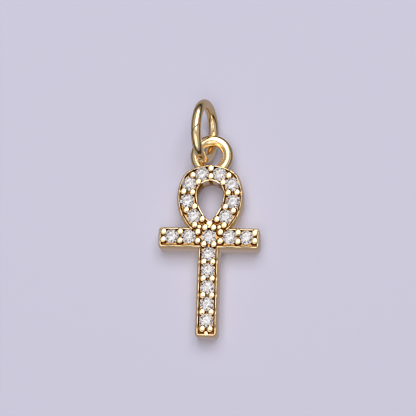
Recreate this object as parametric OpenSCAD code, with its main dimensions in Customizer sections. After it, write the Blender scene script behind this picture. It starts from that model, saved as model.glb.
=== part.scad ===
// Ankh pendant: a cast plate with a looped top, round stones held by shared
// prongs, a cast eyelet and an open-cut jump ring. It lies on its back.
// Origin: the crossing of the bar's and the stem's stone rows, on the back face.
// +Z is the front, +Y points to the eyelet, X runs along the crossbar.

/* [Plate] */
// Height of the rim above the back face
plate_t = 1.9; // [1.6:0.05:2.4]
// Width of the raised rim's flat top
rim_w = 0.05; // [0.05:0.01:0.16]
// Depth of the field below the rim
field_depth = 0.24; // [0.18:0.01:0.3]
// Width of the steep bevel outside the rim
bevel_w = 0.15; // [0.1:0.01:0.18]
// Height of that bevel
bevel_h = 0.42; // [0.3:0.01:0.45]
// Corner radius at the bar's ends and the foot
corner_r = 0.3; // [0.22:0.02:0.44]

/* [Crossbar] */
// Metal from the outer stones' edge to the bar's end
bar_end = 0.47; // [0.4:0.02:0.8]
// Metal beside the stones, above and below the row
bar_ledge = 0.28; // [0.24:0.01:0.4]
// How far the bar's middle lies below its stone row
bar_drop = 0.08; // [0:0.01:0.12]

/* [Stem] */
// Metal from the last stone's edge to the foot
stem_end = 0.66; // [0.5:0.02:1]
// Metal beside the stones, left and right
stem_ledge = 0.29; // [0.28:0.01:0.44]

/* [Loop] */
// Outer width of the loop
loop_w = 4.95; // [4.6:0.05:5.6]
// Height of the loop's top above the crossing
loop_top = 5.47; // [5.2:0.05:6.2]
// Height of the loop's widest place above the crossing
loop_wide_y = 2.95; // [2.7:0.05:3.2]
// Radius of the loop's flat crown
crown_r = 3.18; // [2.8:0.05:3.8]
// Radius of the loop's shoulders
shoulder_r = 1.23; // [0.9:0.05:1.5]
// Radius of the loop's long sides
side_r = 3.47; // [3:0.05:4.2]
// Width of the band between the loop's widest place and its hole
band_w = 1.49; // [1.4:0.02:1.6]
// Width of the band at the loop's crown
crown_band = 1.28; // [1.22:0.02:1.4]
// Height of the hole's lower tip above the crossing
hole_tip = 1.15; // [1.05:0.05:1.4]
// Width of the raised rim round the hole
hole_rim_w = 0.09; // [0.06:0.01:0.14]

/* [Stones] */
// Diameter of each round stone
stone_d = 1.05; // [0.85:0.01:1.12]
// Gap between neighbours on the stem and the arms
stone_gap = 0.18; // [0.14:0.01:0.3]
// Gap between the middle stone and those beside it
centre_gap = 0.46; // [0.38:0.01:0.6]
// Gap between the middle stone and the stem's first
stem_gap = 0.21; // [0.16:0.01:0.4]
// Number of stones down the stem
stem_count = 5; // [3:1:7]
// Height of a stone above its girdle
crown_h = 0.16; // [0.12:0.01:0.18]
// Thickness of the girdle
girdle_h = 0.03; // [0.02:0.01:0.05]
// Depth of a stone below its girdle
pavilion_h = 0.45; // [0.38:0.01:0.52]
// Diameter of the table facet
table_d = 0.58; // [0.48:0.01:0.66]
// How far the girdle's middle lies above the field
stone_lift = 0.05; // [0:0.01:0.1]
// Clearance between a stone and its seat
seat_gap = 0.03; // [0.02:0.005:0.04]
// Diameter of the pilot hole under each stone
drill_d = 0.24; // [0.18:0.01:0.3]
// How far the pilot hole runs below the stone's point
drill_depth = 0.1; // [0.06:0.01:0.16]

/* [Prongs] */
// Diameter of a shared prong
prong_d = 0.44; // [0.36:0.01:0.48]
// Diameter of the small beads where the rows meet
bead_d = 0.28; // [0.2:0.01:0.32]
// Height of the prong tips above the rim
prong_rise = 0.08; // [0.04:0.01:0.14]
// Height of a prong's or bead's domed tip, as a share of its diameter
dome_share = 0.08; // [0.06:0.01:0.3]
// Distance of a shared prong from its row's middle line
prong_side = 0.33; // [0.3:0.01:0.36]
// How far an end prong reaches over its stone's edge
prong_bite = 0.07; // [0.03:0.01:0.09]

/* [Eyelet] */
// Thickness of the eyelet's round wire
eyelet_wire = 0.8; // [0.66:0.01:0.86]
// How far the loop's crown covers the eyelet's hole
eyelet_root = 0.08; // [0.04:0.01:0.14]
// Metal of the field above the eyelet's root
eyelet_cover = 0.02; // [0.01:0.01:0.1]

/* [Jump ring] */
// Outer diameter of the jump ring
ring_d = 4.74; // [4.3:0.02:5.4]
// Thickness of the jump ring's wire
ring_wire = 0.74; // [0.6:0.01:0.84]
// Clearance between the jump ring and the eyelet's wire
ring_gap = 0.05; // [0.03:0.01:0.08]
// Clearance between the jump ring and the loop's crown
crown_gap = 0.03; // [0.02:0.01:0.06]
// Lean of the jump ring from upright, to the left
ring_lean = 15; // [10:0.5:18]
// Turn of the jump ring about the vertical
ring_turn = -1.8; // [-4:0.2:4]
// Sideways place of the jump ring in the eyelet's hole
ring_side = -0.22; // [-0.28:0.01:0]
// Width of the cut through the jump ring
split_w = 0.06; // [0.03:0.01:0.1]
// Angle of that cut from the ring's top, to the foot
split_at = 12; // [0:1:30]
// Slant of that cut across the wire
split_slant = 50; // [20:1:56]

/* [Hidden] */
$fn = 48;
// Long arcs of the outline are drawn finer
outline_fn = 160;
gold = [0.93, 0.80, 0.55];
clear = [0.90, 0.93, 0.95, 0.85];

stone_r = stone_d / 2;
field_z = plate_t - field_depth;
girdle_z = field_z + stone_lift;
girdle_top = girdle_z + girdle_h / 2;
girdle_bottom = girdle_z - girdle_h / 2;
table_z = girdle_top + crown_h;
culet_z = girdle_bottom - pavilion_h;
prong_top = plate_t + prong_rise;

// Stone places. Each row of the loop's table is one stone of the right half:
// [x as a share of half the loop's width, y as a share of the loop's top]
LOOP_ROW = [[0.26, 0.86], [0.645, 0.724], [0.683, 0.486], [0.475, 0.279]];
pitch = stone_d + stone_gap;
bar_x = [for (i = [0:1]) stone_d + centre_gap + i * pitch];
stem_y = [for (i = [0:stem_count - 1]) -(stone_d + stem_gap + i * pitch)];
loop_right = [for (row = LOOP_ROW) [row[0] * loop_w / 2, row[1] * loop_top]];
loop_left = [for (p = loop_right) [-p[0], p[1]]];
loop_stones = concat(loop_left, loop_right);
bar_stones = [[-bar_x[1], 0], [-bar_x[0], 0], [0, 0], [bar_x[0], 0], [bar_x[1], 0]];
stem_stones = [for (y = stem_y) [0, y]];
stones = concat(loop_stones, bar_stones, stem_stones);

// Plate sizes that follow the stones
bar_w = 2 * (bar_x[1] + stone_r + bar_end);
bar_h = stone_d + 2 * bar_ledge;
stem_w = stone_d + 2 * stem_ledge;
stem_l = stone_r + stem_end - stem_y[stem_count - 1];
bar_top = bar_h / 2 - bar_drop;
bar_foot = -bar_h / 2 - bar_drop;
// Distance from the outer wall in to the field
rim_in = bevel_w + rim_w;

// Centres of the loop's outline arcs: the crown, the sides, and the shoulders,
// which touch both, so their centre is where two circles about the others meet
crown_c = [0, loop_top - crown_r];
side_c = [loop_w / 2 - side_r, loop_wide_y];
shoulder_c = circles_meet(crown_c, crown_r - shoulder_r, side_c, side_r - shoulder_r);
crown_turn = heading(crown_c, shoulder_c);
side_turn = heading(side_c, shoulder_c);
// The sides run down to the middle line of the bar
side_foot = -asin(loop_wide_y / side_r);
corner_y = [bar_top - corner_r, bar_foot + corner_r, corner_r - stem_l];
corner_x = [bar_w / 2 - corner_r, stem_w / 2 - corner_r];
// The bar's upper edge starts inside the edge of the loop's side
neck_x = (side_x(side_r - rim_in, bar_top) + side_x(side_r, bar_top - rim_in)) / 2;

// The hole: a half circle above, two long arcs that meet in a tip below
hole_r = loop_w / 2 - band_w;
hole_y = loop_top - crown_band - hole_r;
hole_drop = hole_y - hole_tip;
// Rounded to a thousandth, so that the half circle and the long arcs meet exactly
hole_side_r = round(500 * (hole_drop * hole_drop + hole_r * hole_r) / hole_r) / 1000;

// The jump ring stands on the surface below and clears a round at the crown's edge,
// as wide as the bevel, which the bevel lies within
ring_r = (ring_d - ring_wire) / 2;
ring_z = ring_r * cos(ring_lean) + ring_wire / 2;
crown_reach = ring_r + ring_wire / 2 + bevel_w + crown_gap;
crown_fall = (ring_z - plate_t + bevel_w) / cos(ring_lean);
ring_y = loop_top - bevel_w + sqrt(crown_reach * crown_reach - crown_fall * crown_fall);

// The eyelet's top hangs inside the jump ring, which sets the eyelet's size
eyelet_z = field_z - eyelet_cover - eyelet_wire / 2;
eyelet_reach = ring_r - ring_wire / 2 - eyelet_wire / 2 - ring_gap;
eyelet_fall = (ring_z - eyelet_z) / cos(ring_lean);
eyelet_top = ring_y - sqrt(eyelet_reach * eyelet_reach - eyelet_fall * eyelet_fall);
eyelet_r = (eyelet_top + eyelet_wire / 2 - loop_top + eyelet_root) / 2;
eyelet_c = [0, eyelet_top - eyelet_r, eyelet_z];
ring_c = [ring_side - (ring_z - eyelet_z) * tan(ring_lean), ring_y, ring_z];

// Prong places. A shared pair stands between two stones, either side of the row,
// and the others stand at a turn about their own stone
LOW_TURNS = [200, 262];
BAR_END_TURNS = [-24, 27];
CENTRE_LOW_TURN = -57;
CENTRE_HIGH_TURN = 65;
FOOT_TURN = -65;
// How far along from the middle stone to the next their shared pair stands
centre_part = 0.55;
// How far the crown's two prongs stand from their row, as shares of prong_side
crown_up = 1.2;
crown_down = 0.6;
// Small beads: one off each upper corner of the middle stone, three that touch under
// the hole's tip, and one at the foot, all in shares of bead_d
corner_bead_turn = 45;
corner_bead_off = 1.8;
tip_bead_side = 0.32;
tip_bead_drop = 0.5;
tip_point_drop = 1.3;
foot_bead_rise = 0.25;
prong_reach = stone_r + prong_d / 2 - prong_bite;
top_stone = loop_right[0];
low_stone = loop_right[3];
end_stone = bar_stones[4];
foot_stone = stem_stones[stem_count - 1];
row_prongs = concat(
    [for (i = [0:2]) each pair(loop_right[i], loop_right[i + 1], prong_side)],
    pair(bar_stones[2], bar_stones[3], prong_side, centre_part),
    pair(bar_stones[3], bar_stones[4], prong_side));
end_prongs = concat(
    [for (turn = LOW_TURNS) around(low_stone, turn, prong_reach)],
    [for (turn = BAR_END_TURNS) around(end_stone, turn, prong_reach)],
    [around([0, 0], CENTRE_LOW_TURN, prong_reach)],
    [around([0, 0], CENTRE_HIGH_TURN, stone_r + prong_d / 2)],
    [around(foot_stone, FOOT_TURN, prong_reach)]);
stem_prongs = [for (i = [0:stem_count - 2])
    each pair(stem_stones[i], stem_stones[i + 1], prong_side)];
crown_prongs = [[0, top_stone[1] + crown_up * prong_side],
    [0, top_stone[1] - crown_down * prong_side]];
right_beads = [around([0, 0], corner_bead_turn, stone_r + corner_bead_off * bead_d),
    [tip_bead_side * bead_d, hole_tip - tip_bead_drop * bead_d]];
middle_beads = [[0, hole_tip - tip_point_drop * bead_d],
    [0, rim_in + foot_bead_rise * bead_d - stem_l]];

LOOP_NODES = [for (i = [1:len(loop_stones)]) str("loop_stone_", i)];
BAR_NODES = [for (i = [1:len(bar_stones)]) str("bar_stone_", i)];
STEM_NODES = [for (i = [1:len(stem_stones)]) str("stem_stone_", i)];
STONE_NODES = concat(LOOP_NODES, BAR_NODES, STEM_NODES);

// The direction from a to b, in degrees
function heading(a, b) = atan2(b[1] - a[1], b[0] - a[0]);

// How far right a circle of radius r about the side's centre is at a height y
function side_x(r, y) = side_c[0] + sqrt(r * r - pow(loop_wide_y - y, 2));

// The upper right crossing of a circle about a with a circle about b
function circles_meet(a, ra, b, rb) =
    let (d = norm(b - a),
         along = (ra * ra - rb * rb + d * d) / (2 * d),
         off = sqrt(ra * ra - along * along),
         u = (b - a) / d)
    a + along * u + off * [u[1], -u[0]];

// Two places either side of the way from a to b, a part of the way along
function pair(a, b, side, part = 0.5) =
    let (u = (b - a) / norm(b - a), n = [-u[1], u[0]], c = a + part * (b - a))
    [c + side * n, c - side * n];

// A place at a turn and distance about c
function around(c, turn, reach) = c + reach * [cos(turn), sin(turn)];

// Section of the plate's edge out to the wall at r: a flat rim, bevelled outside
module rim_section(r) {
    inner = max(0, r - rim_in);
    polygon([[inner, 0], [r, 0], [r, plate_t - bevel_h], [r - bevel_w, plate_t],
        [inner, plate_t]]);
}

// Places a centre by a coarse and then a fine move, so that touching arcs meet exactly
module at(c) {
    coarse = [round(1000 * c[0]) / 1000, round(1000 * c[1]) / 1000, 0];
    translate(coarse) translate([c[0], c[1], 0] - coarse) children();
}

// The edge round a whole circle, its seam turned away from the part that is used
module rim_ring(c, r) {
    at(c) rotate([0, 0, 180]) rotate_extrude($fn = outline_fn) rim_section(r);
}

// The edge round a corner at c, a quarter turn on from a direction
module rim_corner(c, from) {
    translate(c) rotate([0, 0, from]) rotate_extrude(angle = 90, $fn = outline_fn)
        rim_section(corner_r);
}

// The edge along a straight wall, which lies to the left of the way from a to b
module rim_run(a, b) {
    translate(a) rotate([90, 0, heading(a, b) + 90])
        linear_extrude(norm(b - a)) translate([-rim_in, 0]) rim_section(rim_in);
}

// All room between two directions about a centre
module wedge(c, from, to) {
    far = 3 * loop_w;
    at(c) translate([0, 0, -plate_t]) linear_extrude(3 * plate_t)
        polygon([for (turn = [0:3]) turn == 0 ? [0, 0] : around([0, 0],
            from + (turn - 1) * (to - from) / 2, far)]);
}

module crown_wedge() {
    wedge(crown_c, crown_turn, 180 - crown_turn);
}

module side_wedge() {
    wedge(side_c, side_foot, side_turn);
}

// The edge of the right half: the shoulder is what the crown and the side leave over
module rim_half() {
    end_x = bar_w / 2;
    difference() {
        rim_ring(shoulder_c, shoulder_r);
        crown_wedge();
        side_wedge();
    }
    // The side's edge ends at the bar's field
    difference() {
        intersection() {
            rim_ring(side_c, side_r);
            side_wedge();
        }
        translate([-loop_w, bar_top - rim_in - loop_w, -plate_t])
            cube([2 * loop_w, loop_w, 3 * plate_t]);
    }
    rim_run([neck_x, bar_top], [corner_x[0], bar_top]);
    rim_corner([corner_x[0], corner_y[0]], 0);
    rim_run([end_x, corner_y[0]], [end_x, corner_y[1]]);
    rim_corner([corner_x[0], corner_y[1]], -90);
    rim_run([corner_x[0], bar_foot], [stem_w / 2 - rim_in, bar_foot]);
    rim_run([stem_w / 2, bar_foot + rim_in], [stem_w / 2, corner_y[2]]);
    rim_corner([corner_x[1], corner_y[2]], -90);
    rim_run([corner_x[1], -stem_l], [-rim_w, -stem_l]);
}

// Points along an arc
function arc(c, r, from, to, steps) =
    [for (i = [0:steps]) around(c, from + i * (to - from) / steps, r)];

// Right half of an outline that runs inside the middle of the edge all the way round
slab_in = rim_in / 2;
slab_half = concat(
    arc(crown_c, crown_r - slab_in, 90, crown_turn, 4),
    arc(shoulder_c, shoulder_r - slab_in, crown_turn, side_turn, 4),
    arc(side_c, side_r - slab_in, side_turn,
        -asin((loop_wide_y - bar_top + slab_in) / (side_r - slab_in)), 8),
    arc([corner_x[0], corner_y[0]], corner_r - slab_in, 90, 0, 4),
    arc([corner_x[0], corner_y[1]], corner_r - slab_in, 0, -90, 4),
    [[stem_w / 2 - slab_in, bar_foot + slab_in]],
    arc([corner_x[1], corner_y[2]], corner_r - slab_in, 0, -90, 4));
slab_turns = len(slab_half) - 1;
slab_points = concat(slab_half,
    [for (i = [slab_turns:-1:1]) [-slab_half[i][0], slab_half[i][1]]]);

// The plate: a slab as high as the field, inside a raised edge
module plate() {
    linear_extrude(field_z) polygon(slab_points);
    intersection() {
        rim_ring(crown_c, crown_r);
        crown_wedge();
    }
    for (side = [0, 1]) mirror([side, 0, 0]) rim_half();
    linear_extrude(plate_t) teardrop(hole_rim_w);
}

// The teardrop of the hole, grown by a distance on every side
module teardrop(grow) {
    span = 2 * (hole_r + grow);
    translate([0, hole_y]) {
        intersection() {
            circle(r = hole_r + grow, $fn = outline_fn);
            translate([-span / 2, 0]) square(span);
        }
        intersection() {
            translate([hole_r - hole_side_r, 0]) circle(r = hole_side_r + grow, $fn = outline_fn);
            translate([hole_side_r - hole_r, 0]) circle(r = hole_side_r + grow, $fn = outline_fn);
            translate([-span / 2, -2 * span]) square([span, 2 * span]);
        }
    }
}

// A prong or bead: a post with a domed tip. The dome is a little wider than the post,
// which trims it, so that the two meet along one clean edge
module prong(p, d, top = prong_top) {
    dome_h = dome_share * d;
    wide = 0.51 * d;
    dome_r = (wide * wide + dome_h * dome_h) / (2 * dome_h);
    translate([p[0], p[1], 0]) rotate_extrude() {
        translate([0, culet_z]) square([d / 2, top - dome_h - culet_z]);
        intersection() {
            translate([0, top - dome_r]) circle(r = dome_r, $fn = outline_fn);
            translate([0, top - dome_h]) square([d / 2, dome_h]);
        }
    }
}

// All prongs and beads, the side ones drawn for the right half and mirrored
module prongs() {
    for (side = [0, 1]) mirror([side, 0, 0]) {
        for (p = concat(row_prongs, end_prongs)) prong(p, prong_d);
        for (p = right_beads) prong(p, bead_d, plate_t);
    }
    for (p = concat(stem_prongs, crown_prongs)) prong(p, prong_d);
    for (p = middle_beads) prong(p, bead_d, plate_t);
}

// A ring of round wire, sunk into the loop's top
module eyelet() {
    translate(eyelet_c) rotate_extrude() translate([eyelet_r, 0]) circle(d = eyelet_wire);
}

// The room that one stone takes: a pilot hole, and over it the stone's form with its
// clearance, which is measured square to the slopes and so is longer up and down
module seat() {
    low = seat_gap * sqrt(1 + pavilion_slope * pavilion_slope);
    high = seat_gap * sqrt(1 + crown_slope * crown_slope);
    rotate_extrude() polygon([
        [0, culet_z - drill_depth],
        [drill_d / 2, culet_z - drill_depth],
        [drill_d / 2, culet_z - low + pavilion_slope * drill_d / 2],
        [stone_r + seat_gap, girdle_bottom - low + seat_gap * pavilion_slope],
        [stone_r + seat_gap, girdle_top + high - seat_gap * crown_slope],
        [table_d / 2, table_z + high],
        [0, table_z + high]]);
}

// Cast in one piece: plate, rims, prongs and eyelet
module setting() {
    color(gold) difference() {
        union() {
            plate();
            prongs();
            eyelet();
        }
        translate([0, 0, -plate_t]) linear_extrude(3 * plate_t) teardrop(0);
        for (p = stones) translate([p[0], p[1], 0]) seat();
    }
}

// Corners of a round brilliant, ring by ring from the table down to the culet
half_step = 22.5;
mains = [for (i = [0:7]) 2 * half_step * i];
halves = [for (turn = mains) turn + half_step];
girdle_turns = [for (i = [0:15]) half_step * i];
crown_slope = crown_h / (stone_r - table_d / 2);
pavilion_slope = pavilion_h / stone_r;
star_r = (table_d / 2 * cos(half_step) + stone_r) / 2;
lower_r = stone_r / 4;
star_z = girdle_top + (stone_r - star_r * cos(half_step)) * crown_slope;
lower_z = girdle_bottom - (stone_r - lower_r * cos(half_step)) * pavilion_slope;
function ring(turns, r, z) = [for (turn = turns) [r * cos(turn), r * sin(turn), z]];
brilliant_points = concat(
    ring(mains, table_d / 2, table_z),
    ring(halves, star_r, star_z),
    ring(girdle_turns, stone_r, girdle_top),
    ring(girdle_turns, stone_r, girdle_bottom),
    ring(halves, lower_r, lower_z),
    [[0, 0, culet_z]]);
// First corner of each ring in that list
star_0 = 8;
top_0 = 16;
bottom_0 = 32;
lower_0 = 48;
culet = 56;
function next(i, n) = (i + 1) % n;
function last(i, n) = (i + n - 1) % n;
brilliant_faces = concat(
    [[for (i = [7:-1:0]) i]],
    [for (i = [0:7]) [i, next(i, 8), star_0 + i]],
    [for (i = [0:7]) [i, star_0 + i, top_0 + 2 * i, star_0 + last(i, 8)]],
    [for (i = [0:7]) [star_0 + i, top_0 + 2 * i + 1, top_0 + 2 * i]],
    [for (i = [0:7]) [star_0 + i, top_0 + next(2 * i + 1, 16), top_0 + 2 * i + 1]],
    [for (i = [0:15]) [top_0 + i, top_0 + next(i, 16), bottom_0 + next(i, 16), bottom_0 + i]],
    [for (i = [0:7]) [lower_0 + i, bottom_0 + 2 * i, bottom_0 + 2 * i + 1]],
    [for (i = [0:7]) [lower_0 + i, bottom_0 + 2 * i + 1, bottom_0 + next(2 * i + 1, 16)]],
    [for (i = [0:7]) [culet, lower_0 + last(i, 8), bottom_0 + 2 * i, lower_0 + i]]);

// Turn from one stone to the next, so that their facets don't line up
stone_turn = 17;

// A round brilliant in its place in the rows
module stone(i) {
    color(clear) translate([stones[i][0], stones[i][1], 0]) rotate([0, 0, stone_turn * i])
        polyhedron(brilliant_points, brilliant_faces);
}

// Round wire bent to a ring, cut through once on the slant
module jump_ring() {
    color(gold) translate(ring_c) rotate([0, 0, ring_turn]) rotate([0, 90 - ring_lean, 0])
        difference() {
            rotate_extrude() translate([ring_r, 0]) circle(d = ring_wire);
            rotate([0, 0, 180 + split_at]) translate([ring_r, 0, 0])
                rotate([split_slant, 0, -split_slant / 2])
                cube([3 * ring_wire, split_w, 3 * ring_wire], center = true);
        }
}

setting();
jump_ring();
for (i = [0:len(stones) - 1])
    stone(i);
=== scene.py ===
# %% [markdown]
# # Dressing an ankh pendant
# The real thing is a small cast charm: a brass casting, plated in pale yellow gold, with
# round clear stones held in rows by shared prongs. A round wire ring goes through its
# eyelet. The exact solids are loaded as a fixed frame, in metres, and everything here is
# built round them. The stones and the ring keep their exact shapes and get materials. The
# casting gets a softer skin, made from its own solid.

# %% Load the frame
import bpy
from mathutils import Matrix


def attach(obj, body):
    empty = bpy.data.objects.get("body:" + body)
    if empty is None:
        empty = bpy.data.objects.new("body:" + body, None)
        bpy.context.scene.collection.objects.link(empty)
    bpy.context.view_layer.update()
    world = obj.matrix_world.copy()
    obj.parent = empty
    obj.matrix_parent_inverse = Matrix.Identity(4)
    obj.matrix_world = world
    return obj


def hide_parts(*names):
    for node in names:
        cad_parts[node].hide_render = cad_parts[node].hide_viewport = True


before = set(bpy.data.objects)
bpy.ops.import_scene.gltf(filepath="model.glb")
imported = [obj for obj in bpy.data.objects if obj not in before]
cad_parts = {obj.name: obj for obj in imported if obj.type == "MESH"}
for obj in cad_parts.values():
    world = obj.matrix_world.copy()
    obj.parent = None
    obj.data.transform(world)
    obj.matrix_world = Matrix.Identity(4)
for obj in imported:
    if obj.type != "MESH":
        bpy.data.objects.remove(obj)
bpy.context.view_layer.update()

# %% Modules and the millimetre
import math

import bpy
import numpy as np
from mathutils import Matrix, Vector
from mathutils.kdtree import KDTree

MM = 0.001
print("one millimetre is", MM, "Blender units")

# %% [markdown]
# ## The camera
# The photograph looks almost straight down on the charm, from a little way towards its
# foot and its right side, with a long lens. The charm lies slightly turned in the frame.
# It could be turned under the camera, but then it would leave the frame's places, so the
# camera is turned instead. Its three axes are worked out as vectors, which is plainer
# than three angles when a camera looks nearly straight down.

# %% Camera's place and axes
LENS_MM = 128.5
CAMERA_DISTANCE = 110 * MM
CAMERA_TURN = math.radians(1.773)
CAMERA_TILT = math.radians(11)
CAMERA_SIDE = math.radians(3.506)
AIM = Vector((-0.1126, 2.2956, 1.0)) * MM

turn = Matrix.Rotation(CAMERA_TURN, 3, "Z")
to_camera = turn @ Vector((math.tan(CAMERA_SIDE), -math.tan(CAMERA_TILT), 1)).normalized()
right = (turn @ Vector((0, 1, 0))).cross(to_camera).normalized()
up = to_camera.cross(right)
print("the camera lies along", [round(x, 3) for x in to_camera])

# %% Camera
camera_data = bpy.data.cameras.new("camera")
camera_data.lens = LENS_MM
camera_data.clip_start = 0.01
camera = bpy.data.objects.new("camera", camera_data)
bpy.context.scene.collection.objects.link(camera)
camera.matrix_world = Matrix.Translation(turn @ AIM + CAMERA_DISTANCE * to_camera) @ Matrix(
    (right, up, to_camera)).transposed().to_4x4()
bpy.context.scene.camera = camera
print("camera at", [round(x / MM, 1) for x in camera.location], "mm")

# %% [markdown]
# ## Colours and nodes
# Colours are picked on screen, as hex values, but shaders work with light, so one function
# turns them into linear numbers. Another adds a node with all that is set on it and all
# that goes into it, so that each material reads as a list of what it is made of.

# %% Colour of light
def linear(hex_colour):
    """An sRGB hex colour as the linear one that shaders take."""
    parts = [int(hex_colour[i:i + 2], 16) / 255 for i in (0, 2, 4)]
    return [c / 12.92 if c <= 0.04045 else ((c + 0.055) / 1.055) ** 2.4 for c in parts] + [1]


print("half grey is", round(linear("808080")[0], 3), "of the light")

# %% Node and material helpers
def add_node(tree, kind, settings=None, links=None):
    """Adds a node, sets its properties and socket values, and links its inputs."""
    node = tree.nodes.new(kind)
    for name, value in (settings or {}).items():
        if isinstance(name, str) and hasattr(node, name):
            setattr(node, name, value)
        else:
            node.inputs[name].default_value = value
    for name, output in (links or {}).items():
        tree.links.new(output, node.inputs[name])
    return node


def new_material(name):
    """A material with an empty node tree."""
    material = bpy.data.materials.new(name)
    material.use_nodes = True
    material.node_tree.nodes.clear()
    return material, material.node_tree


def show(material, surface):
    """Sends a shader to the material's output."""
    tree = material.node_tree
    add_node(tree, "ShaderNodeOutputMaterial", None, {"Surface": surface.outputs["BSDF"]})
    print(material.name, "has", len(tree.nodes), "nodes")


# %% [markdown]
# ## The metal
# The casting and the ring are brass with a thin plating of pale gold. The wax model's
# skin, the tumbling and the plating leave a bright surface that is never quite even: it
# swells softly every half millimetre and is finely pitted. Real waves in the mesh would
# need millions of faces, so both are bumps. The eye sees highlights with soft, slightly
# broken edges.

# %% Gold-plated brass
PLATING = "f8ddaa"
SWELL_SIZE = 0.55 * MM        # from one soft swell of the wax to the next
SWELL_HEIGHT = 0.03 * MM
PIT_SIZE = 0.09 * MM          # coarser than tumbling leaves, so that it shows
PIT_HEIGHT = 0.004 * MM
ROUGHNESS = (0.1, 0.24)       # from the smoothest spots to the pits


def gold_plated_brass(name):
    """Cast, tumbled and plated: bright, with a slight swell and fine pits."""
    material, tree = new_material(name)
    place = add_node(tree, "ShaderNodeTexCoord")
    swell = add_node(tree, "ShaderNodeTexNoise", {"Scale": 1 / SWELL_SIZE, "Detail": 1.5},
                     {"Vector": place.outputs["Object"]})
    pits = add_node(tree, "ShaderNodeTexNoise", {"Scale": 1 / PIT_SIZE, "Detail": 3.0},
                    {"Vector": place.outputs["Object"]})
    rough = add_node(tree, "ShaderNodeMapRange", {
        "From Min": 0.35, "From Max": 0.7, "To Min": ROUGHNESS[0], "To Max": ROUGHNESS[1]},
        {"Value": pits.outputs["Fac"]})
    swell_bump = add_node(tree, "ShaderNodeBump", {"Strength": 0.5, "Distance": SWELL_HEIGHT},
                          {"Height": swell.outputs["Fac"]})
    bump = add_node(tree, "ShaderNodeBump", {"Strength": 0.3, "Distance": PIT_HEIGHT},
                    {"Height": pits.outputs["Fac"], "Normal": swell_bump.outputs["Normal"]})
    surface = add_node(tree, "ShaderNodeBsdfPrincipled", {
        "Base Color": linear(PLATING), "Metallic": 1.0},
        {"Roughness": rough.outputs["Result"], "Normal": bump.outputs["Normal"]})
    show(material, surface)
    return material, surface


gold, _ = gold_plated_brass("gold_plated_brass")

# %% [markdown]
# ### Brown recesses: tarnish and painted shade
# Tumbling and polishing never reach the bottom of the recesses, and dirt and a little
# tarnish stay there, so they look brown. The brown is also painted shade, for the shade
# and the gold's own dim reflections that fall in the recesses. The casting's skin, made
# further down, carries a number on each point, from 0 on a polished place to 1 in a
# recess. It mixes the metal's colour towards brown, and the tint of its edges, which would
# else turn white where a wall is seen at a flat angle, so the edges' reflection is painted
# darker too. A picture painted on the mesh could do the same, but the number needs no
# unwrapping.

# %% Brass casting with brown recesses, tarnish and painted shade
# Brown of the recesses: partly tarnish, partly painted shade
RECESS_SHADE_AND_TARNISH = "a67c46"
NO_TINT = "ffffff"
RECESS_VALUE = "recess"
# Sockets of the colour mix node, whose float and colour sockets share their names
FACTOR, COLOUR_A, COLOUR_B, COLOUR_RESULT = 0, 6, 7, 2

setting_gold, surface = gold_plated_brass("gold_plated_brass_casting")
tree = setting_gold.node_tree
# The recess number mixes in painted shade and tarnish: base colour and edge tint turn brown
depth = add_node(tree, "ShaderNodeAttribute", {"attribute_name": RECESS_VALUE})
for socket, polished in (("Base Color", PLATING), ("Specular Tint", NO_TINT)):
    mix = add_node(tree, "ShaderNodeMix", {
        "data_type": "RGBA", COLOUR_A: linear(polished), COLOUR_B: linear(RECESS_SHADE_AND_TARNISH)},
        {FACTOR: depth.outputs["Fac"]})
    tree.links.new(mix.outputs[COLOUR_RESULT], surface.inputs[socket])
print(setting_gold.name, "now has", len(tree.nodes), "nodes")

# %% [markdown]
# ## The stones
# The stones are clear cubic zirconia, cut and polished to flat facets. The material is
# smooth and clear, and bends light much more than glass does, which gives the eye small
# bright and dark patches that jump from facet to facet. The exact solids already have
# every facet, so they need no other mesh.

# %% Cubic zirconia
CLEAR = "ffffff"
ZIRCONIA_IOR = 2.17

zirconia, tree = new_material("cubic_zirconia")
show(zirconia, add_node(tree, "ShaderNodeBsdfPrincipled", {
    "Base Color": linear(CLEAR), "Roughness": 0.0, "IOR": ZIRCONIA_IOR,
    "Transmission Weight": 1.0}))

# %% Materials on the exact solids
for name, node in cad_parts.items():
    node.data.materials.clear()
    node.data.materials.append(zirconia if "stone" in name else gold)
print("stones", sum("stone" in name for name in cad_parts))

# %% [markdown]
# ## The cast skin
# The exact solid has knife-sharp inner corners. A real casting has none: wax and metal
# round every one, and the floor between the prongs is scooped, so that it looks dark.
# A copy of the solid is melted together by a fine voxel remesh and smoothed. Bevels on
# every edge would round them too, but they fail where prongs and rims run into each
# other. Sculpting by hand would work, with less control over the size.

# %% Helpers for pieces
def only(piece):
    """Selects one object alone, and makes it active."""
    bpy.ops.object.select_all(action="DESELECT")
    piece.select_set(True)
    bpy.context.view_layer.objects.active = piece


def finish_with(piece, kind, **settings):
    """Adds a modifier, sets it and applies it."""
    only(piece)
    modifier = piece.modifiers.new(kind.lower(), kind)
    for name, value in settings.items():
        setattr(modifier, name, value)
    bpy.ops.object.modifier_apply(modifier=modifier.name)


# %% Copy the setting, in millimetres
DOUBLES = 0.0001

skin = bpy.data.objects.new("setting_skin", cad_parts["setting"].data.copy())
bpy.context.scene.collection.objects.link(skin)
skin.data.transform(Matrix.Scale(1 / MM, 4))
only(skin)
bpy.ops.object.mode_set(mode="EDIT")
bpy.ops.mesh.select_all(action="SELECT")
bpy.ops.mesh.remove_doubles(threshold=DOUBLES)
bpy.ops.object.mode_set(mode="OBJECT")
print("the copy has", len(skin.data.polygons), "faces")

# %% Melt it together
VOXEL = 0.022                 # under half of the rim's flat top

finish_with(skin, "REMESH", mode="VOXEL", voxel_size=VOXEL)
finish_with(skin, "SMOOTH", factor=0.5, iterations=2)
print("melted to", len(skin.data.polygons), "faces")

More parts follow.
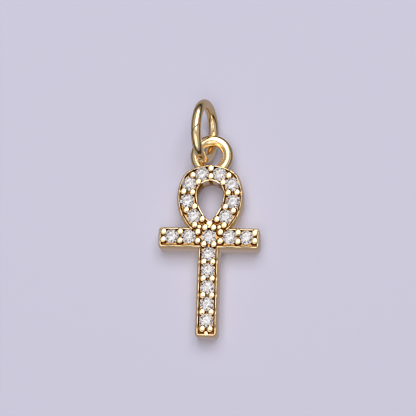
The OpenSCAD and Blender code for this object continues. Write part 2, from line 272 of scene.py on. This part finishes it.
# %% [markdown]
# ## The levels of the casting
# What is done to the skin depends on where a point lies: on the floor between the rims,
# on a rim, or near a stone. These places could be typed in, but they are measured, so
# that they are still right after a small change of the solids. The stones' places come
# from their own solids. The floor is the flat level with the most metal near the top, and
# the rim is the next one above it.

# %% Points, normals and the stones' places
def points_of(piece):
    """The places of a mesh's points."""
    co = np.empty(len(piece.data.vertices) * 3)
    piece.data.vertices.foreach_get("co", co)
    return co.reshape(-1, 3)


def normals_of(piece):
    """The directions that a mesh's points face."""
    normal = np.empty(len(piece.data.vertices) * 3)
    piece.data.vertices.foreach_get("normal", normal)
    return normal.reshape(-1, 3)


def middles(word):
    """The middle of each piece that has a word in its name, in millimetres."""
    found = [points_of(piece) / MM for name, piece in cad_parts.items() if word in name]
    return np.array([(co.min(axis=0) + co.max(axis=0)) / 2 for co in found])


stone_places = middles("stone")
loop_places = middles("loop_stone")
print("stones", len(stone_places), "of them on the loop", len(loop_places))

# %% Floor and rim levels
LEVEL_STEP = 0.005


def level(low, high):
    """The height between two others at which most of the skin lies flat."""
    z = points_of(skin)[:, 2]
    z = z[(normals_of(skin)[:, 2] > 0.99) & (z > low) & (z < high)]
    counts, edges = np.histogram(z, bins=int((high - low) / LEVEL_STEP))
    return edges[counts.argmax()] + LEVEL_STEP / 2


FIELD_Z = level(1.5, 1.8)
RIM_Z = level(1.86, 1.93)
print("field at", round(FIELD_Z, 3), "rim at", round(RIM_Z, 3), "mm")

# %% [markdown]
# ## Scooping the floor
# Between the prongs the real floor is a hollow with no flat left, because the wax was
# scooped out there by a round burr. Points of the floor are moved down, more the further
# they are from what rises out of it, so that prongs and rims keep their feet. A weight on
# each point and one Displace modifier do this, as weight painting would by hand.

# %% Distances and moving down
LEAST_MOVE = 0.0005


def smooth_step(x, low, high):
    """Rises from 0 at low to 1 at high, with no corner at either end."""
    t = np.clip((x - low) / (high - low), 0, 1)
    return t * t * (3 - 2 * t)


def tree_of(points):
    """A search tree that finds the nearest of many points."""
    tree = KDTree(len(points))
    for i, p in enumerate(points):
        tree.insert(p, i)
    tree.balance()
    return tree


def distance_to(tree, points):
    """How far each point is from the nearest one in the tree."""
    return np.array([tree.find(p)[2] for p in points])


def lower(piece, amount, name):
    """Moves a piece's points down, each by its own amount."""
    group = piece.vertex_groups.new(name=name)
    most = amount.max()
    for i in np.flatnonzero(amount > LEAST_MOVE):
        group.add([int(i)], amount[i] / most, "REPLACE")
    finish_with(piece, "DISPLACE", direction="Z", mid_level=0, strength=-most, vertex_group=name)


# %% Find the floor and what rises from it
place = points_of(skin)
facing = normals_of(skin)[:, 2]
height = place[:, 2]
flat_tree = tree_of(place[(abs(height - FIELD_Z) < 0.008) & (facing > 0.97)])
raised_points = place[(height > FIELD_Z + 0.025) & (height < FIELD_Z + 0.06)]
raised_points[:, 2] = FIELD_Z
raised_tree = tree_of(raised_points)
print("feet of prongs and rims have", len(raised_points), "points")

# %% Scoop the floor between the prongs
SCOOP = 0.1
SCOOP_REACH = 0.1             # from a prong's or rim's foot to the full depth
FLOOR_REACH = 0.05            # a point this near to flat floor still counts as floor

field = np.flatnonzero((height > FIELD_Z - 0.3) & (height < FIELD_Z + 0.012) & (facing > -0.2))
level_points = place[field].copy()
level_points[:, 2] = FIELD_Z
near_flat = distance_to(flat_tree, level_points) < FLOOR_REACH
field, level_points = field[near_flat], level_points[near_flat]
reach = smooth_step(distance_to(raised_tree, level_points), 0, SCOOP_REACH)
amount = np.zeros(len(place))
amount[field] = np.maximum(place[field, 2] - (FIELD_Z - SCOOP * reach), 0)
lower(skin, amount, "scoop")
print("scooped", len(field), "points")

# %% [markdown]
# ## Wearing the rims
# The rims are full height beside the stones and a little lower between them, where the
# burr that cut the prongs ran into them and where they rub. The same move down does it,
# by each point's distance from the nearest stone's middle.

# %% Wear the rims down beside the prongs
RIM_DROP = 0.06
WEAR_FROM, WEAR_TO = 0.68, 0.86   # from a stone's middle
WEAR_DEPTH = 0.1                  # how far below its top a rim is changed

place = points_of(skin)
top = (place[:, 2] > RIM_Z - WEAR_DEPTH) & (place[:, 2] < RIM_Z + 0.02)
off = np.array([np.hypot(*(stone_places[:, :2] - p[:2]).T).min() for p in place[top]])
amount = np.zeros(len(place))
amount[top] = (RIM_DROP * smooth_step(off, WEAR_FROM, WEAR_TO)
               * smooth_step(place[top, 2], RIM_Z - WEAR_DEPTH, RIM_Z - 0.02))
lower(skin, amount, "rim")
print("wore", int(top.sum()), "points of the rims")

# %% [markdown]
# ## Thinning the skin
# The melted mesh has far more faces than its shape needs. Decimate takes them away where
# the surface is flat or evenly bent, and keeps them on beads and edges. A coarser remesh
# would lose the rims.

# %% Thin the skin
MOST_TRIANGLES = 190000       # kept under 200,000 triangles; past 200,000 the skin's mesh file would be thinned

finish_with(skin, "SMOOTH", factor=0.5, iterations=1)
finish_with(skin, "DECIMATE", ratio=MOST_TRIANGLES / (2 * len(skin.data.polygons)))
skin.vertex_groups.clear()
print("thinned to", len(skin.data.polygons), "faces")

# %% [markdown]
# ## Marking the recesses
# Now each point gets the number that the casting's material reads. It is 1 on the floor
# between the rims, and 0 on the tops of prongs and rims and on the outer walls. The wall
# of the teardrop hole is marked too, as painted shade, darker towards its top.

# %% How deep each point lies between the rims
place = points_of(skin)
level_points = place.copy()
level_points[:, 2] = FIELD_Z
deep = smooth_step(-place[:, 2], -(RIM_Z - 0.05), -(FIELD_Z + 0.02))
between_rims = 1 - smooth_step(distance_to(flat_tree, level_points), 0.03, 0.08)
print("points in the recesses", int((deep * between_rims > 0.5).sum()))

# %% Which points are on the hole's wall
SEAT_REACH = 0.45             # millimetres from a stone's middle, inside its seat
WALL_LEAST = 0.6              # the recess number at the wall's foot

hole_middle = loop_places.mean(axis=0)[:2]
facing_in = ((hole_middle - place[:, :2]) * normals_of(skin)[:, :2]).sum(axis=1) > 0
to_stones = np.hypot(*(place[:, None, :2] - loop_places[None, :, :2]).T).T
stone_reach = np.hypot(*(loop_places[:, :2] - hole_middle).T)[to_stones.argmin(axis=1)]
before_stone = np.hypot(*(hole_middle - place[:, :2]).T) < stone_reach
in_seat = to_stones.min(axis=1) <= SEAT_REACH
wall = facing_in & before_stone & ~in_seat & (place[:, 2] < RIM_Z - 0.05)
print("hole's wall has", int(wall.sum()), "points")

# %% Write the number on the skin
# Painted shade on the hole's wall: 0.6 at its foot, rising to 1 near its top
painted_wall_shade = wall * (WALL_LEAST + (1 - WALL_LEAST) * smooth_step(
    place[:, 2], RIM_Z - 0.9, RIM_Z - 0.1))
recess = skin.data.attributes.new(RECESS_VALUE, "FLOAT", "POINT")
recess.data.foreach_set("value", np.maximum(deep * between_rims, painted_wall_shade).astype(np.float32))
print("mean recess number", round(float(np.maximum(deep * between_rims, painted_wall_shade).mean()), 3))

# %% [markdown]
# ## The skin takes the setting's place
# The skin goes back to metres, rides on the one body that the row has, and stands for the
# exact setting, which stays in the frame for collision.

# %% Finish the skin
skin.data.transform(Matrix.Scale(MM, 4))
only(skin)
bpy.ops.object.shade_smooth()
skin.data.materials.clear()
skin.data.materials.append(setting_gold)
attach(skin, "root")
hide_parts("setting")
print("skin measures", [round(x / MM, 2) for x in skin.dimensions], "mm")

# %% [markdown]
# ## The floor
# The charm lies on matt, pale lilac paper. A large plane is enough, a hair below the
# charm's back so that the two faces don't fight for the same place. Metal and stones
# don't see this plane. They see the lower half of the room in its place, which has the
# paper's shade and a dark line at its edge, and that line draws the dark outlines that
# the photograph shows along the wires.

# %% Floor
PAPER = "cccada"
FLOOR_SIZE = 2.0
FLOOR_DROP = 0.004 * MM

paper, tree = new_material("matt_paper")
show(paper, add_node(tree, "ShaderNodeBsdfPrincipled", {
    "Base Color": linear(PAPER), "Roughness": 0.9, "Specular IOR Level": 0.0}))
bpy.ops.object.select_all(action="DESELECT")
bpy.ops.mesh.primitive_plane_add(size=FLOOR_SIZE, location=(0, 0, -FLOOR_DROP))
floor = bpy.context.object
floor.name = "floor"
floor.data.materials.append(paper)
floor.visible_glossy = False
floor.visible_transmission = False
print("floor is", round(floor.dimensions.x, 2), "m wide")

# %% [markdown]
# ## The lights
# Two jobs are kept apart. Two soft panels are seen only by shiny surfaces, and give the
# long highlights on the ring, the eyelet and the prongs. Two others light only matt
# surfaces, and give the paper its shade and the soft shadows. One pair could do both, as
# in a real studio, but apart each can be set without spoiling what the other does.

# %% Soft panel
DAYLIGHT = "fdfcff"


def softbox(name, azimuth, elevation, distance, size, radiance, mirrored):
    """A panel that faces the charm, from a bearing (0 is +Y, clockwise), in metres."""
    data = bpy.data.lights.new(name, "AREA")
    data.shape = "RECTANGLE"
    data.size, data.size_y = size
    data.energy = radiance * math.pi * size[0] * size[1]
    data.color = linear(DAYLIGHT)[:3]
    light = bpy.data.objects.new(name, data)
    bpy.context.scene.collection.objects.link(light)
    az, el = math.radians(azimuth), math.radians(elevation)
    way = Vector((math.sin(az) * math.cos(el), math.cos(az) * math.cos(el), math.sin(el)))
    light.location = distance * way
    light.rotation_mode = "QUATERNION"
    light.rotation_quaternion = way.to_track_quat("Z", "Y")
    light.visible_glossy = mirrored
    light.visible_transmission = False
    light.visible_diffuse = not mirrored
    print(name, "gives", round(data.energy, 3), "W")


# %% Panels
softbox("panel_above", 18, 58, 0.4, (0.30, 0.60), 1.9, mirrored=True)
softbox("panel_behind", 196, 42, 0.4, (0.46, 0.32), 0.85, mirrored=True)
softbox("fill_north", 5, 67, 0.5, (0.42, 0.36), 4.0, mirrored=False)
softbox("fill_south", 195, 72, 0.5, (0.32, 0.28), 2.9, mirrored=False)

# %% [markdown]
# ## The room that the metal mirrors
# Polished metal looks like what surrounds it. Here that is a pale room: soft grey below,
# a narrow dark band at the horizon, which draws the dark lines along wires and beads, and
# a bright ceiling. A ramp over the sine of the elevation paints it with no picture. The
# camera is a dark spot in it.

# %% World and its ramp
# (sine of the elevation, colour), from straight down to nearly straight up
ROOM = [(-1.0, "a69eac"), (-0.45, "a09a9e"), (-0.25, "908a8a"), (-0.1, "2c2824"),
        (0.04, "2c2824"), (0.18, "8c888a"), (0.35, "b4b0b2"), (0.8, "bebcc0"), (0.94, "eeecf0")]


def set_stops(ramp, stops):
    """Gives a colour ramp its stops, each a place from 0 to 1 and a hex colour."""
    elements = ramp.color_ramp.elements
    while len(elements) < len(stops):
        elements.new(0.5)
    for element, (share, colour) in zip(elements, stops):
        element.position = share
        element.color = linear(colour)


world = bpy.data.worlds.new("studio")
bpy.context.scene.world = world
world.use_nodes = True
tree = world.node_tree
tree.nodes.clear()
way = add_node(tree, "ShaderNodeTexCoord")
split = add_node(tree, "ShaderNodeSeparateXYZ", None, {"Vector": way.outputs["Generated"]})
rise = add_node(tree, "ShaderNodeMapRange", {"From Min": -1.0, "From Max": 1.0},
                {"Value": split.outputs["Z"]})
room_ramp = add_node(tree, "ShaderNodeValToRGB", None, {"Fac": rise.outputs["Result"]})
set_stops(room_ramp, [((sine + 1) / 2, colour) for sine, colour in ROOM])
print("room has", len(room_ramp.color_ramp.elements), "stops")

# %% The camera's dark spot
CAMERA_DARK = 0.15
SPOT_EDGE = (math.radians(14), math.radians(9))   # where it starts and where it is full

towards = add_node(tree, "ShaderNodeVectorMath", {"operation": "DOT_PRODUCT", 1: to_camera},
                   {0: way.outputs["Generated"]})
camera_dark = add_node(tree, "ShaderNodeMapRange", {
    "From Min": math.cos(SPOT_EDGE[0]), "From Max": math.cos(SPOT_EDGE[1]),
    "To Min": 1.0, "To Max": CAMERA_DARK}, {"Value": towards.outputs["Value"]})
print("dark spot is", round(2 * math.degrees(SPOT_EDGE[1])), "degrees wide")

# %% Dim the room for matt surfaces
# The paper takes most of its light from the two fill panels, and little from the room
MATT_SHARE = 0.25

path = add_node(tree, "ShaderNodeLightPath")
matt_dim = add_node(tree, "ShaderNodeMapRange", {"To Min": 1.0, "To Max": MATT_SHARE},
                    {"Value": path.outputs["Is Diffuse Ray"]})
strength = add_node(tree, "ShaderNodeMath", {"operation": "MULTIPLY"},
                    {0: matt_dim.outputs["Result"], 1: camera_dark.outputs["Result"]})
room = add_node(tree, "ShaderNodeBackground", None,
                {"Color": room_ramp.outputs["Color"], "Strength": strength.outputs["Value"]})
print("matt surfaces get", MATT_SHARE, "of the room's light")

# %% [markdown]
# ## What the stones gather
# A cut stone gathers small pieces of the whole room: lamps, white walls and dark gaps.
# In a smooth room it looks like grey glass. So rays that have passed through a stone meet
# a room of small cells, most of them bright and some dark. Many small lamps would do the
# same and cost far more time.

# %% Cells of light
# (share of the cells below it, colour), from the gaps to the lamps
GLINTS = [(0.0, "3a3436"), (0.2, "a09496"), (0.32, "e6dad8"), (0.6, "fffaf8")]
GLINT_SCALE = 12.0            # cells across one unit of the direction

cells = add_node(tree, "ShaderNodeTexVoronoi", {"Scale": GLINT_SCALE},
                 {"Vector": way.outputs["Generated"]})
chance = add_node(tree, "ShaderNodeSeparateColor", None, {"Color": cells.outputs["Color"]})
glint = add_node(tree, "ShaderNodeValToRGB", None, {"Fac": chance.outputs["Red"]})
glint.color_ramp.interpolation = "CONSTANT"
set_stops(glint, GLINTS)
in_stones = add_node(tree, "ShaderNodeBackground", None, {
    "Color": glint.outputs["Color"], "Strength": camera_dark.outputs["Result"]})
print("stones see", len(GLINTS), "kinds of cell")

# %% Join the two rooms
both = add_node(tree, "ShaderNodeMixShader", None, {
    0: path.outputs["Is Transmission Ray"], 1: room.outputs["Background"],
    2: in_stones.outputs["Background"]})
add_node(tree, "ShaderNodeOutputWorld", None, {"Surface": both.outputs["Shader"]})
bpy.context.scene.view_settings.view_transform = "Standard"
print("world has", len(tree.nodes), "nodes")

# %% [markdown]
# ## Sharpening
# The photograph was sharpened a little, as cameras do, so edges have a faint line beside
# them. The compositor's filter does the same. It works on the picture as it is shown, not
# on light, because there the brightest spots would turn everything round them black.

# %% Sharpen the picture
SHARPEN = 0.08
GAMMA = 2.2                   # between light and the picture as it is shown
ONLY_CLIP = 0                 # a mix of nothing, which cuts off what is brighter than white

scene = bpy.context.scene
scene.use_nodes = True
tree = scene.node_tree
tree.nodes.clear()
layers = add_node(tree, "CompositorNodeRLayers")
clip = add_node(tree, "CompositorNodeMixRGB", {"use_clamp": True, 0: ONLY_CLIP},
                {1: layers.outputs["Image"]})
encoded = add_node(tree, "CompositorNodeGamma", {"Gamma": 1 / GAMMA},
                   {"Image": clip.outputs["Image"]})
sharp = add_node(tree, "CompositorNodeFilter", {"filter_type": "SHARPEN_DIAMOND", "Fac": SHARPEN},
                 {"Image": encoded.outputs["Image"]})
decoded = add_node(tree, "CompositorNodeGamma", {"Gamma": GAMMA}, {"Image": sharp.outputs["Image"]})
add_node(tree, "CompositorNodeComposite", None, {"Image": decoded.outputs["Image"]})
print("compositor has", len(tree.nodes), "nodes")
